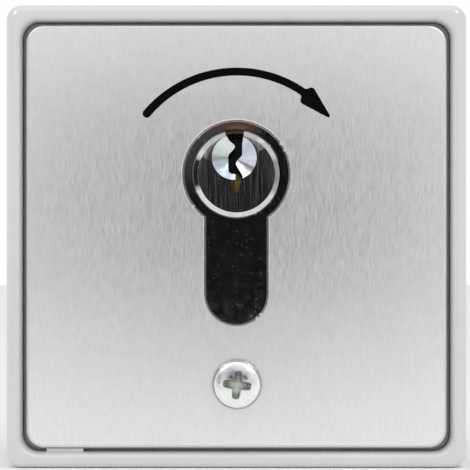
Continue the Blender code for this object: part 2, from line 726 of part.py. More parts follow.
def rounded_path(points, reach, steps=3):
    """A path through its points with each inner corner rounded."""
    path = [points[0]]
    for before, corner, after in zip(points, points[1:], points[2:]):
        corner_v = Vector(corner)
        start = corner_v + (Vector(before) - corner_v).normalized() * reach
        stop = corner_v + (Vector(after) - corner_v).normalized() * reach
        for step in range(steps + 1):
            t = step / steps
            path.append(tuple(start * (1 - t) ** 2 + corner_v * 2 * t * (1 - t) + stop * t * t))
    path.append(points[-1])
    return path


def around(radius, degrees, y):
    """A point about the cylinder's axis, with its angle clockwise from straight up."""
    angle = math.radians(degrees)
    return (radius * math.sin(angle), y, AXIS_Z + radius * math.cos(angle))


def build_return_spring():
    """A torsion coil on the stud: one leg lies on the nose's flank, the other is held by the plate."""
    start = math.degrees(math.asin((NOSE_HALF + WIRE_R + 0.12) / LEG_R))
    stop = 180 + 360 * COIL_TURNS
    steps = int((stop - start) / 22.5)
    coil = []
    for step in range(steps + 1):
        t = step / steps
        coil.append(around(COIL_R, start + (stop - start) * t, COIL_FRONT + (COIL_BACK - COIL_FRONT) * t))
    moving = rounded_path([around(LEG_R, start, LEG_TIP), around(LEG_R, start, COIL_FRONT), coil[0]], 1.2)
    fixed = rounded_path([coil[-1], around(ANCHOR_DROP, 180, COIL_BACK), around(ANCHOR_DROP, 180, -16.9)], 1.2)
    item = wire("return_spring", moving[:-1] + coil + fixed[1:], WIRE_R, 1)
    return finish(item, (0.6, 0.6, 0.58), 0.3, 1.0)


# --- switch ---------------------------------------------------------------------------------------

def nose_centre(turn):
    """The centre of the nose's round end after a turn in radians."""
    reach = NOSE_TIP - NOSE_HALF
    return Vector((reach * math.sin(turn), AXIS_Z + reach * math.cos(turn)))


def in_lever(point, turn):
    """Where a point lies on the lever, after the lever has followed a turn of the key."""
    angle = LEVER_RATIO * turn
    pivot = Vector(LEVER_AT)
    arm = point - pivot
    return pivot + Vector((arm.x * math.cos(angle) - arm.y * math.sin(angle),
                           arm.x * math.sin(angle) + arm.y * math.cos(angle)))


def lever_face(offset, steps=12):
    """The lever's face, which is the envelope of the nose's round end all through its travel."""
    points = []
    small = 0.001
    for index in range(steps + 1):
        turn = math.radians(TRAVEL) * index / steps
        here = in_lever(nose_centre(turn), turn)
        along = (in_lever(nose_centre(turn + small), turn + small) - here).normalized()
        points.append(tuple(here + offset * Vector((-along.y, along.x))))
    return points


def build_lever():
    inner = lever_face(NOSE_HALF + LEVER_GAP)
    outer = lever_face(NOSE_HALF + LEVER_GAP + LEVER_THICK)
    pivot = Vector(LEVER_AT)
    end = Vector(inner[-1])
    down = (pivot - (end + Vector(outer[-1])) / 2).normalized()
    side = Vector((-down.y, down.x)) * LEVER_THICK / 2
    outline = inner + [tuple(pivot - side), tuple(pivot + side)] + outer[::-1]
    item = prism("switch_lever", outline, *LEVER_Y)
    join(item, rods("lever_knuckle", "Y", [LEVER_AT], KNUCKLE_R, (LEVER_Y[0] + 0.01, LEVER_Y[1] - 0.01), 20))
    cut(item, rods("lever_pin_hole", "Y", [LEVER_AT], 0.75, (-31, -25), 14))
    set_pivot(item, LEVER_AT[0], CAM_MID, LEVER_AT[1])
    finish(item, (0.7, 0.7, 0.7), 0.3, 1.0)
    pin = rods("switch_lever_pin", "Y", [LEVER_AT], 0.55, (-30.6, -25.6), 12)
    return finish(pin, (0.7, 0.7, 0.7), 0.3, 1.0)


def tab_slot(z):
    grow = 0.2
    return ((CHAMBER_X - 0.5, CASE_X[1] + 1), (CAM_MID - TAB_HALF - grow, CAM_MID + TAB_HALF + grow),
            (z - TAB_SHEET / 2 - grow, z + TAB_SHEET / 2 + grow))


def build_switch_case():
    item = blocks("switch_case", (CASE_X, CASE_Y, CASE_Z))
    ears_z = (LEVER_AT[1] - 1.5, LEVER_AT[1] + 1.5)
    join(item, blocks("case_ears", ((12.9, CASE_X[0] + 0.5), (CASE_Y[0] + 0.01, LEVER_Y[0] - 0.3), ears_z),
                      ((12.9, CASE_X[0] + 0.5), (LEVER_Y[1] + 0.3, CASE_Y[1] - 0.01), ears_z)))
    cut(item, blocks("case_chamber", ((CASE_X[0] + CASE_WALL, CHAMBER_X), (CASE_Y[0] + CASE_WALL, -24.9),
                                      (CASE_Z[0] + 0.8, CASE_Z[1] - 0.8))))
    cut(item, rods("case_pin_hole", "Y", [LEVER_AT], 0.75, (-32, -24), 14))
    cut(item, rods("case_plunger_hole", "X", [(CAM_MID, PLUNGER_Z)], PLUNGER_R + 0.2, (15.5, 17.2), 16))
    cut(item, blocks("case_tab_slots", tab_slot(NC_Z), tab_slot(NO_Z), tab_slot(COMMON_Z)))
    places = [(SWITCH_SCREW_X, z) for z in SWITCH_SCREW_Z]
    cut(item, rods("case_screw_holes", "Y", places, 1.3, (-32, -24), 14))
    finish(item, (0.02, 0.02, 0.02), 0.5)
    cover = blocks("switch_cover", (CASE_X, COVER_Y, CASE_Z))
    cut(cover, rods("cover_screw_holes", "Y", places, 1.3, (-26, -23), 14))
    finish(cover, (0.03, 0.03, 0.03), 0.5)
    for side, place in zip(("lower", "upper"), places):
        screw_piece(f"switch_screw_{side}", place, COVER_Y[1] + 0.2, 2.0, 1.3, 1.05, -36.5, (0.8, 0.8, 0.78),
                    toward=1)


def build_switch_inside():
    tip = [(PLUNGER_R * math.cos(math.radians(a)), PLUNGER_CENTRE - PLUNGER_R * math.sin(math.radians(a)))
           for a in (0, 30, 60)]
    profile = [(0, PLUNGER_BACK), (0.6, PLUNGER_BACK), (0.6, 17.95), (1.45, 17.95), (1.45, 17.2),
               (PLUNGER_R, 17.2)] + tip + [(0, PLUNGER_CENTRE - PLUNGER_R)]
    finish(turned("switch_plunger", "X", (CAM_MID, PLUNGER_Z), profile, 12), (0.6, 0.1, 0.06), 0.4)
    half = BLADE_SHEET / 2
    blade = blocks("switch_blade", ((BLADE_X - half, BLADE_X + half), (CAM_MID - 1.5, CAM_MID + 1.5), BLADE_Z))
    set_pivot(blade, BLADE_X, CAM_MID, BLADE_Z[1])
    finish(blade, (0.8, 0.5, 0.3), 0.3, 1.0)
    build_terminal("common", [(TAB_END, COMMON_Z), (18.0, COMMON_Z)])
    build_terminal("no", [(TAB_END, NO_Z), (20.95, NO_Z), (20.95, -0.6)])
    build_terminal("nc", [(TAB_END, NC_Z), (17.9, NC_Z), (17.9, -0.4)])


def build_terminal(name, path):
    """A flat tab along a square-cornered path of (x, z) points, from its outer end inwards."""
    half = TAB_SHEET / 2
    (x0, z0), (x1, _) = path[:2]
    outline = [(x0, z0 + half), (x0, z0 - half), (x1 - half, z0 - half), (x1 - half, z0 + half)]
    if len(path) == 3:
        _, z2 = path[2]
        far = -half if z2 < z0 else half
        bend = [(x1 + half, z0 + far), (x1 + half, z2), (x1 - half, z2), (x1 - half, z0 - far)]
        outline = [(x0, z0 - far), (x0, z0 + far)] + bend
    item = prism(f"switch_terminal_{name}", outline, CAM_MID - TAB_HALF, CAM_MID + TAB_HALF)
    cut(item, rods(f"terminal_hole_{name}", "Z", [(31.0, CAM_MID)], 0.6, (z0 - 1, z0 + 1), 12))
    return finish(item, (0.8, 0.75, 0.65), 0.3, 1.0)


clear_scene()
PARTS = new_collection("selector_key_switch")
CUTTERS = new_collection("selector_key_switch_cutters")
build_housing()
build_front_plate()
build_gasket()
build_plate_screw()
build_entries()
build_earth()
build_cylinder_body()
build_plug()
build_cam()
build_clip()
build_pins()
build_cylinder_screw()
build_carrier()
build_carrier_screws()
build_spring_plate()
build_return_spring()
build_lever()
build_switch_case()
build_switch_inside()
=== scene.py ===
import math

import bmesh
import bpy
from mathutils import Matrix, Vector


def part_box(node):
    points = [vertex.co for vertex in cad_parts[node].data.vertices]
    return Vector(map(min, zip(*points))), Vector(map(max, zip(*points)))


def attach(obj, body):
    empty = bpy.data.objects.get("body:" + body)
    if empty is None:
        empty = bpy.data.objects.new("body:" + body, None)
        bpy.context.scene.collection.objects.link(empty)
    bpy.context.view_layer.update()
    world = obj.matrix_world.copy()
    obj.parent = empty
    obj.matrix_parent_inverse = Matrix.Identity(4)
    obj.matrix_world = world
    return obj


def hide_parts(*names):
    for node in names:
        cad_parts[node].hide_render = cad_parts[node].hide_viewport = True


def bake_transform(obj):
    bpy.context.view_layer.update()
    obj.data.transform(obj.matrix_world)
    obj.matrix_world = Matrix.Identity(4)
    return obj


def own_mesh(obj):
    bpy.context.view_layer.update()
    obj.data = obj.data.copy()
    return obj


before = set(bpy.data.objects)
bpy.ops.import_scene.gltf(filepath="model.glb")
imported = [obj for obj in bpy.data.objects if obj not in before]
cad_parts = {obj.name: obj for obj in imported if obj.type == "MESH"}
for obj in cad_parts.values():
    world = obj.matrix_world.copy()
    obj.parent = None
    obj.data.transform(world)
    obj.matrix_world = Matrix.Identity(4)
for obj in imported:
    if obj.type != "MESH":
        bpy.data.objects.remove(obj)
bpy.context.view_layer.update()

# The object's measures are in millimetres.
MM = 0.001
TURN_TO_Y = Matrix.Rotation(-math.pi / 2, 4, "X")

# width, height and corner radius, seen from the front
HOUSING = (75.0, 75.4, 2.5)
HOLLOW = (69.8, 70.0, 2.7)
PLATE = (68.6, 68.9, 2.9)

# places along Y, which runs from the front (-) to the wall (0)
FRONT = -58.0
CYLINDER_FRONT = -57.6
PLATE_FRONT = -57.0
LIP_FRONT = -55.1
FLOOR_Y = -2.8
FIRST_PIN_Y = -53.6
PIN_PITCH = 4.0

# the cylinder's section: the head's radius and centre, and the tail's half width and drop
AXIS_Z = 10.2
HEAD_RADIUS = 8.5
TAIL_HALF = 4.95
TAIL_DROP = 19.5
HOLE_GAP = 0.15
DISH = (-0.36, AXIS_Z + 2.7)

# the plate's screw: its axis, its seat, the turn of its cross in degrees, and the reach of its domed front
SCREW = (0.1, -24.1)
SCREW_SEAT = -57.1
SCREW_TURN = 7
DOME_RADIUS = 3.5

# how far each carrier screw is from the middle, sideways and in height
CARRIER_SCREWS = 27.5

# the centre of the arc that the printed arrow follows
ARROW_CENTRE = (0.1, 7.8)


# --- mesh helpers ---------------------------------------------------------------------------------

def arc(x, z, radius, start, stop, steps):
    """Points on a circle, from one angle to another, in degrees clockwise from up."""
    out = []
    for index in range(steps + 1):
        angle = math.radians(start + (stop - start) * index / steps)
        out.append((x + radius * math.sin(angle), z + radius * math.cos(angle)))
    return out


def rounded_rectangle(width, height, radius):
    x = width / 2 - radius
    z = height / 2 - radius
    out = []
    for cx, cz, start in [(x, z, 0), (x, -z, 90), (-x, -z, 180), (-x, z, 270)]:
        out += arc(cx, cz, radius, start, start + 90, 10)
    return out


def profile_outline(gap):
    """The profile cylinder's section, made larger all round by a gap."""
    radius = HEAD_RADIUS + gap
    half = TAIL_HALF + gap
    meet = math.degrees(math.asin(half / radius))
    head = arc(0, AXIS_Z, radius, 180 + meet, 540 - meet, 96)
    return head + arc(0, AXIS_Z - TAIL_DROP, half, 90, 270, 32)


def new_piece(name, bm):
    mesh = bpy.data.meshes.new(name)
    bmesh.ops.recalc_face_normals(bm, faces=bm.faces)
    bm.to_mesh(mesh)
    bm.free()
    item = bpy.data.objects.new(name, mesh)
    bpy.context.scene.collection.objects.link(item)
    return item


def skin(name, bm, rows):
    """A closed solid over rows of vertices, each a ring of equal length."""
    count = len(rows[0])
    for near, far in zip(rows, rows[1:]):
        for index in range(count):
            after = (index + 1) % count
            bm.faces.new((near[index], near[after], far[after], far[index]))
    bm.faces.new(rows[0])
    bm.faces.new(rows[-1])
    return new_piece(name, bm)


def loft(name, rings):
    """A solid through rings of equal length, each a (list of (x, z), y) pair, front to back."""
    bm = bmesh.new()
    rows = [[bm.verts.new((x * MM, y * MM, z * MM)) for x, z in outline] for outline, y in rings]
    return skin(name, bm, rows)


def prism(name, outline, front, back):
    return loft(name, [(outline, front), (outline, back)])


def rod(name, place, radius, span, axis="Y", segments=64, end_radius=None):
    """A round rod, or a cone where it has an end radius, along an axis and at a place on the other two."""
    bm = bmesh.new()
    middle = sum(span) / 2
    if axis == "Y":
        spot = Vector((place[0], middle, place[1])) * MM
        turn = TURN_TO_Y
    elif axis == "Z":
        spot = Vector((place[0], place[1], middle)) * MM
        turn = Matrix.Identity(4)
    else:
        spot = Vector((middle, place[0], place[1])) * MM
        turn = Matrix.Rotation(math.pi / 2, 4, "Y")
    bmesh.ops.create_cone(
        bm, cap_ends=True, segments=segments, radius1=radius * MM,
        radius2=(radius if end_radius is None else end_radius) * MM,
        depth=(span[1] - span[0]) * MM, matrix=Matrix.Translation(spot) @ turn)
    return new_piece(name, bm)


def block(name, limits):
    """A box from the (low, high) limits of its x, y and z."""
    bm = bmesh.new()
    middle = [(low + high) / 2 * MM for low, high in limits]
    size = [(high - low) * MM for low, high in limits]
    place = Matrix.Translation(middle) @ Matrix.Diagonal((*size, 1))
    bmesh.ops.create_cube(bm, size=1, matrix=place)
    return new_piece(name, bm)


def turned(name, place, profile, steps=96):
    """A turned solid about an axis along Y, from (radius, y) points that run from back to front."""
    bm = bmesh.new()
    verts = [bm.verts.new((radius * MM, 0, along * MM)) for radius, along in profile]
    edges = [bm.edges.new(pair) for pair in zip(verts, verts[1:])]
    bmesh.ops.spin(bm, geom=verts + edges, cent=(0, 0, 0), axis=(0, 0, 1), angle=2 * math.pi, steps=steps,
                   use_merge=True)
    bmesh.ops.remove_doubles(bm, verts=bm.verts, dist=0.000001)
    bm.transform(Matrix.Translation((place[0] * MM, 0, place[1] * MM)) @ TURN_TO_Y)
    return new_piece(name, bm)


def combine(item, tool, operation="DIFFERENCE"):
    """Cut a tool out of a piece, or join it on, and use the tool up."""
    modifier = item.modifiers.new("combine", "BOOLEAN")
    modifier.operation = operation
    modifier.solver = "EXACT"
    modifier.object = tool
    settle(item)
    bpy.data.objects.remove(tool, do_unlink=True)


def settle(item):
    """Apply an object's modifiers."""
    bpy.context.view_layer.update()
    graph = bpy.context.evaluated_depsgraph_get()
    mesh = bpy.data.meshes.new_from_object(item.evaluated_get(graph))
    item.modifiers.clear()
    item.data = mesh


def smooth(item, degrees):
    """Smooth shading, with sharp edges where faces meet at more than an angle."""
    item.data.shade_smooth()
    item.data.set_sharp_from_angle(angle=math.radians(degrees))
    modifier = item.modifiers.new("weighted", "WEIGHTED_NORMAL")
    modifier.keep_sharp = True


def soft_edges(item, width):
    modifier = item.modifiers.new("edges", "BEVEL")
    modifier.width = width * MM
    modifier.segments = 1
    modifier.limit_method = "ANGLE"
    modifier.angle_limit = math.radians(40)
    modifier.use_clamp_overlap = True
    settle(item)


def tube(name, path, radius, sides=10):
    """A round wire mesh along (x, y, z) points, with closed ends."""
    bm = bmesh.new()
    points = [Vector(point) for point in path]
    rows = []
    side = None
    for index, point in enumerate(points):
        ahead = points[min(index + 1, len(points) - 1)]
        behind = points[max(index - 1, 0)]
        along = (ahead - behind).normalized()
        if side is None:
            side = along.orthogonal().normalized()
        side = (side - along * side.dot(along)).normalized()
        other = along.cross(side)
        row = []
        for step in range(sides):
            angle = 2 * math.pi * step / sides
            spot = point + (side * math.cos(angle) + other * math.sin(angle)) * radius
            row.append(bm.verts.new(spot * MM))
        rows.append(row)
    return skin(name, bm, rows)


# --- materials ------------------------------------------------------------------------------------

def node(tree, kind, **settings):
    made = tree.nodes.new(kind)
    for key, value in settings.items():
        setattr(made, key, value)
    return made


def feed(tree, target, source):
    """Give an input a link where the source is an output, or else a plain value."""
    if isinstance(source, bpy.types.NodeSocket):
        tree.links.new(source, target)
    else:
        target.default_value = source


def math_node(tree, operation, *sources):
    made = node(tree, "ShaderNodeMath", operation=operation)
    for target, source in zip(made.inputs, sources):
        feed(tree, target, source)
    return made.outputs["Value"]


def mix_colour(tree, factor, under, over, blend_type="MIX"):
    made = node(tree, "ShaderNodeMix", data_type="RGBA", blend_type=blend_type)
    feed(tree, made.inputs["Factor"], factor)
    feed(tree, made.inputs["A"], under)
    feed(tree, made.inputs["B"], over)
    return made.outputs["Result"]


def remap(tree, pattern, low=0.0, high=1.0):
    """The middle of a noise's range, spread over low to high."""
    made = node(tree, "ShaderNodeMapRange")
    made.inputs["From Min"].default_value = 0.3
    made.inputs["From Max"].default_value = 0.7
    made.inputs["To Min"].default_value = low
    made.inputs["To Max"].default_value = high
    tree.links.new(pattern.outputs["Fac"], made.inputs["Value"])
    return made.outputs["Result"]


def noise(tree, scale, stretch, detail):
    """A noise pattern fixed to the object, with scale in features a metre and a stretch for each axis."""
    place = node(tree, "ShaderNodeTexCoord")
    mapping = node(tree, "ShaderNodeMapping")
    mapping.inputs["Scale"].default_value = stretch
    made = node(tree, "ShaderNodeTexNoise")
    made.inputs["Scale"].default_value = scale
    made.inputs["Detail"].default_value = detail
    made.inputs["Roughness"].default_value = 0.55
    tree.links.new(place.outputs["Object"], mapping.inputs["Vector"])
    tree.links.new(mapping.outputs["Vector"], made.inputs["Vector"])
    return made


def fill_ramp(ramp, stops):
    """Set a colour ramp's stops from (position, (red, green, blue)) pairs."""
    while len(ramp.elements) < len(stops):
        ramp.elements.new(0.5)
    for element, (at, colour) in zip(ramp.elements, stops):
        element.position = at
        element.color = (*colour, 1)


def shade(colour, factor):
    return tuple(min(1.0, channel * factor) for channel in colour) + (1.0,)


EVEN = (1, 1, 1)


def material(name, colour, roughness, metallic=0.0, scale=1.0, stretch=EVEN, colour_spread=0.06,
             rough_spread=0.08, bump=0.1, depth=0.00002, detail=3.0, blotch=0.0, coat=0.0,
             coat_roughness=0.03):
    """A Principled surface whose colour, roughness and relief follow a fine noise, with larger blotches."""
    made = bpy.data.materials.new(name)
    made.use_nodes = True
    tree = made.node_tree
    shader = tree.nodes["Principled BSDF"]
    shader.inputs["Metallic"].default_value = metallic
    shader.inputs["Coat Weight"].default_value = coat
    shader.inputs["Coat Roughness"].default_value = coat_roughness
    fine = noise(tree, scale, stretch, detail)
    surface = mix_colour(tree, remap(tree, fine), shade(colour, 1 - colour_spread),
                         shade(colour, 1 + colour_spread))
    if blotch:
        wide = noise(tree, 60.0, EVEN, 2.0)
        surface = mix_colour(tree, 1.0, surface, remap(tree, wide, 1 - blotch), "MULTIPLY")
    tree.links.new(surface, shader.inputs["Base Color"])
    rough = remap(tree, fine, max(0.02, roughness - rough_spread), min(1.0, roughness + rough_spread))
    tree.links.new(rough, shader.inputs["Roughness"])
    relief = node(tree, "ShaderNodeBump")
    relief.inputs["Strength"].default_value = bump
    relief.inputs["Distance"].default_value = depth
    tree.links.new(fine.outputs["Fac"], relief.inputs["Height"])
    tree.links.new(relief.outputs["Normal"], shader.inputs["Normal"])
    return made


def metal(name, colour, roughness, **values):
    return material(name, colour, roughness, metallic=1.0, **values)


def surface_of(made):
    """A material's shader, and the output that gives its colour so far."""
    shader = made.node_tree.nodes["Principled BSDF"]
    return shader, shader.inputs["Base Color"].links[0].from_socket


def specks(made, scale, share, colour, size):
    """Small dust specks over a material, in a share of the cells of a pattern."""
    tree = made.node_tree
    shader, under = surface_of(made)
    place = node(tree, "ShaderNodeTexCoord")
    across = node(tree, "ShaderNodeMapping", vector_type="TEXTURE")
    across.inputs["Rotation"].default_value = (math.pi / 2, 0, 0)
    tree.links.new(place.outputs["Object"], across.inputs["Vector"])
    cells = node(tree, "ShaderNodeTexVoronoi", voronoi_dimensions="2D")
    cells.inputs["Scale"].default_value = scale
    tree.links.new(across.outputs["Vector"], cells.inputs["Vector"])
    pick = node(tree, "ShaderNodeSeparateColor")
    tree.links.new(cells.outputs["Color"], pick.inputs["Color"])
    near = math_node(tree, "LESS_THAN", cells.outputs["Distance"], size)
    chosen = math_node(tree, "LESS_THAN", pick.outputs["Red"], share)
    both = math_node(tree, "MULTIPLY", near, chosen)
    tree.links.new(mix_colour(tree, both, under, (*colour, 1)), shader.inputs["Base Color"])


def spot(tree, centre, radius, softness, warp, squeeze):
    """A mask that is 1 within a radius of a point of the object and fades to 0, its edge broken by noise."""
    place = node(tree, "ShaderNodeTexCoord")
    shift = node(tree, "ShaderNodeVectorMath", operation="SUBTRACT")
    shift.inputs[1].default_value = [value * MM for value in centre]
    scale = node(tree, "ShaderNodeVectorMath", operation="MULTIPLY")
    scale.inputs[1].default_value = squeeze
    length = node(tree, "ShaderNodeVectorMath", operation="LENGTH")
    tree.links.new(place.outputs["Object"], shift.inputs[0])
    tree.links.new(shift.outputs["Vector"], scale.inputs[0])
    tree.links.new(scale.outputs["Vector"], length.inputs[0])
    rough = noise(tree, 1100, EVEN, 3.0)
    away = math_node(tree, "MULTIPLY_ADD", rough.outputs["Fac"], warp * MM, length.outputs["Value"])
    fade = node(tree, "ShaderNodeMapRange", interpolation_type="SMOOTHSTEP")
    fade.inputs["From Min"].default_value = (radius - softness + warp / 2) * MM
    fade.inputs["From Max"].default_value = (radius + softness + warp / 2) * MM
    fade.inputs["To Min"].default_value = 1.0
    fade.inputs["To Max"].default_value = 0.0
    tree.links.new(away, fade.inputs["Value"])
    return fade.outputs["Result"]


def tint(made, mask, colour, strength, roughness=None):
    """Mix a colour, and a roughness where one is given, over a material where a mask says."""
    tree = made.node_tree
    shader, under = surface_of(made)
    if roughness is not None:
        blend = node(tree, "ShaderNodeMix")
        blend.inputs["B"].default_value = roughness
        tree.links.new(mask, blend.inputs["Factor"])
        tree.links.new(shader.inputs["Roughness"].links[0].from_socket, blend.inputs["A"])
        tree.links.new(blend.outputs["Result"], shader.inputs["Roughness"])
    amount = math_node(tree, "MULTIPLY", mask, strength)
    tree.links.new(mix_colour(tree, amount, under, (*colour, 1)), shader.inputs["Base Color"])


def patch_and_painted_reflections(made):
    """A lighter, rougher patch on the polished face, and a painted brown reflection with a golden band of
    painted reflection on its crown.
    """
    tree = made.node_tree
    upper_left_patch = spot(tree, (-3.5, CYLINDER_FRONT, AXIS_Z + 4.0), 7.5, 2.5, 2.0, (1, 0.2, 1))
    tint(made, upper_left_patch, (0.34, 0.34, 0.34), 0.5, 0.19)
    # painted brown reflection over the crown of the face
    wide = spot(tree, (-0.3, CYLINDER_FRONT, AXIS_Z + 8.1), 4.6, 2.2, 2.4, (1, 0.2, 3.4))
    tint(made, wide, (0.34, 0.20, 0.185), 0.85, 0.2)
    # painted golden reflection in a band on the crown
    band = spot(tree, (0.1, CYLINDER_FRONT, AXIS_Z + 7.55), 1.6, 0.7, 0.9, (1, 0.2, 5.0))
    tint(made, band, (0.66, 0.46, 0.20), 0.7)


def head_marks_and_painted_reflection(made):
    """Three dark marks on the screw's head, a lilac-grey patch of painted reflection at its upper left, and a
    greyer patch at its right.
    """
    tree = made.node_tree
    face = -58.9
    marks = ((-0.87, -22.8, 0.30, 0.85), (1.6, -23.0, 0.30, 0.6), (1.35, -22.7, 0.25, 0.5))
    for x, z, radius, strength in marks:
        dark = spot(tree, (x, face, z), radius, 0.2, 0.35, (1, 0.2, 1))
        tint(made, dark, (0.13, 0.11, 0.13), strength)
    # painted reflection of the surroundings, lilac grey, at the upper left of the head
    left = spot(tree, (-1.37, face, -21.6), 0.95, 0.5, 0.8, (0.8, 0.2, 1))
    tint(made, left, (0.62, 0.58, 0.70), 0.6)
    right = spot(tree, (2.6, face, -23.6), 0.5, 0.4, 0.6, (0.7, 0.2, 1))
    tint(made, right, (0.60, 0.60, 0.62), 0.5)


def turned_cut(name, colour, roughness, centre, stops, marks, fineness):
    """Bright metal turned about an axis, with faint rings and broad sectors of painted reflection, lighter
    and darker round the axis.
    """
    made = metal(name, colour, roughness, scale=1500, colour_spread=0.07, rough_spread=0.05, bump=0.2)
    tree = made.node_tree
    shader, under = surface_of(made)
    place = node(tree, "ShaderNodeTexCoord")
    mapping = node(tree, "ShaderNodeMapping", vector_type="TEXTURE")
    mapping.inputs["Location"].default_value = (centre[0] * MM, 0, centre[1] * MM)
    mapping.inputs["Rotation"].default_value = (math.pi / 2, math.pi, 0)
    tree.links.new(place.outputs["Object"], mapping.inputs["Vector"])
    sweep = node(tree, "ShaderNodeTexGradient", gradient_type="RADIAL")
    tree.links.new(mapping.outputs["Vector"], sweep.inputs["Vector"])
    ramp = node(tree, "ShaderNodeValToRGB")
    ramp.color_ramp.interpolation = "EASE"
    fill_ramp(ramp.color_ramp, stops)
    tree.links.new(sweep.outputs["Fac"], ramp.inputs["Fac"])
    rings = node(tree, "ShaderNodeTexWave", wave_type="RINGS", rings_direction="Z")
    rings.inputs["Scale"].default_value = fineness
    rings.inputs["Distortion"].default_value = 1.5
    tree.links.new(mapping.outputs["Vector"], rings.inputs["Vector"])
    # multiply in the painted reflections round the axis
    reflected_tones = mix_colour(tree, 1.0, under, ramp.outputs["Color"], "MULTIPLY")
    ringed = mix_colour(tree, marks, reflected_tones, rings.outputs["Color"], "MULTIPLY")
    tree.links.new(ringed, shader.inputs["Base Color"])
    return made


# Painted reflections round the axis: tones as a share of a turn counter-clockwise from the right.
RING_PAINTED_REFLECTIONS = [
    (0.0, (0.30, 0.31, 0.32)), (0.04, (0.38, 0.38, 0.39)), (0.08, (0.82, 0.82, 0.84)),
    (0.17, (0.74, 0.74, 0.76)), (0.33, (0.68, 0.68, 0.69)), (0.38, (0.74, 0.74, 0.75)),
    (0.42, (0.97, 0.97, 0.97)), (0.45, (0.50, 0.50, 0.50)), (0.55, (0.40, 0.40, 0.41)),
    (0.57, (0.80, 0.80, 0.79)), (0.88, (0.76, 0.76, 0.75)), (0.905, (0.77, 0.77, 0.77)),
    (0.94, (0.43, 0.43, 0.43)), (1.0, (0.30, 0.31, 0.32)),
]
DISH_PAINTED_REFLECTIONS = [
    (0.0, (0.80, 0.86, 0.95)), (0.10, (0.62, 0.68, 0.80)), (0.20, (0.88, 0.90, 0.94)),
    (0.34, (0.88, 0.92, 0.88)), (0.46, (0.72, 0.76, 0.70)), (0.505, (0.36, 0.40, 0.36)),
    (0.55, (0.70, 0.72, 0.78)), (0.62, (0.80, 0.83, 0.95)), (0.70, (0.52, 0.55, 0.66)),
    (0.78, (0.92, 0.92, 0.96)), (0.87, (0.95, 0.95, 0.96)), (0.915, (0.34, 0.35, 0.38)),
    (0.94, (0.95, 0.96, 1.0)), (1.0, (0.80, 0.86, 0.95)),
]

ENAMEL = material("grey_enamel", (0.69, 0.708, 0.716), 0.34, scale=2600, colour_spread=0.008,
                  rough_spread=0.012, bump=0.02, depth=0.000003, detail=2.0, blotch=0.008, coat=1.0,
                  coat_roughness=0.12)
BRUSHED = metal("brushed_plate", (0.93, 0.932, 0.942), 0.36, stretch=(7600, 7600, 560),
                colour_spread=0.055, rough_spread=0.06, bump=0.09, depth=0.000005, detail=6.0, blotch=0.015)
# A darker, rougher copy of the plate's metal for the outer bend: a duller fold, darkened as painted shade to
# dim its edge highlight.
BEND_DULL_AND_SHADED = metal("plate_bend_dull_painted_shade", (0.76, 0.77, 0.75), 0.5, stretch=(3000, 3000, 400), colour_spread=0.04,
             rough_spread=0.06)
# A lighter, smoother copy of the plate's metal for the keyhole's bevel: a shinier cut edge, lightened as a
# painted highlight.
EDGE_SHINY_AND_HIGHLIGHTED = metal("plate_edge_shiny_painted_highlight", (0.96, 0.96, 0.97), 0.24, stretch=(3000, 3000, 400),
                    colour_spread=0.03, rough_spread=0.06)
# The cylinder body's polished nickel is painted dark: its colour stands in for the dark reflection that the
# polished face shows.
NICKEL_PAINTED_DARK_REFLECTION = metal("body_nickel_painted_dark_reflection", (0.21, 0.21, 0.215), 0.09, scale=700, colour_spread=0.10,
                    rough_spread=0.03, bump=0.04)
specks(NICKEL_PAINTED_DARK_REFLECTION, 1300, 0.24, (0.72, 0.72, 0.68), 0.22)
patch_and_painted_reflections(NICKEL_PAINTED_DARK_REFLECTION)
# The plug's brushed face is painted near black: its colour stands in for the dark reflection of the polished
# face, with brushing lines in it.
PLUG_PAINTED_DARK_REFLECTION = metal("plug_brushed_face_painted_dark_reflection", (0.25, 0.235, 0.25), 0.17, stretch=(8200, 8200, 170),
                  colour_spread=0.9, rough_spread=0.05, bump=0.5, detail=4.0)
# the chamfer's and the dish's tones round the axis are painted reflections
CUT_WITH_PAINTED_REFLECTIONS = turned_cut("machined_cut_painted_reflections", (0.94, 0.94, 0.93), 0.09, (0, AXIS_Z), RING_PAINTED_REFLECTIONS, 0.10, 1500)
DISH_WITH_PAINTED_REFLECTIONS = turned_cut("entry_dish_painted_reflections", (0.88, 0.90, 0.91), 0.2, DISH, DISH_PAINTED_REFLECTIONS, 0.12, 900)
BARREL = metal("barrel_nickel", (0.58, 0.57, 0.53), 0.3, stretch=(2500, 300, 2500), colour_spread=0.04,
               rough_spread=0.04, bump=0.05, depth=0.000002)
# The plug's metal in the keyway and chambers is painted near black: painted shade in the narrow hollows.
KEYWAY_PAINTED_SHADE = metal("keyway_wall_painted_shade", (0.035, 0.03, 0.02), 0.45, scale=2500, colour_spread=0.2,
                    rough_spread=0.1, bump=0.3)
PRINT = material("black_print", (0.0025, 0.0025, 0.0025), 0.7, scale=4000, colour_spread=0.2,
                 rough_spread=0.06)
PRINT.node_tree.nodes["Principled BSDF"].inputs["Specular IOR Level"].default_value = 0.04
ZINC = metal("bright_zinc", (0.97, 0.98, 0.97), 0.3, scale=1400, colour_spread=0.08, bump=0.3,
             depth=0.00004, detail=4.0, blotch=0.06)
head_marks_and_painted_reflection(ZINC)
# A darker copy of the zinc for the side of the screw's head: painted shade round the head's rim.
ZINC_EDGE_PAINTED_SHADE = metal("zinc_head_side_painted_shade", (0.42, 0.44, 0.44), 0.3, scale=1400, colour_spread=0.12, bump=0.3,
                  depth=0.00004, detail=4.0)
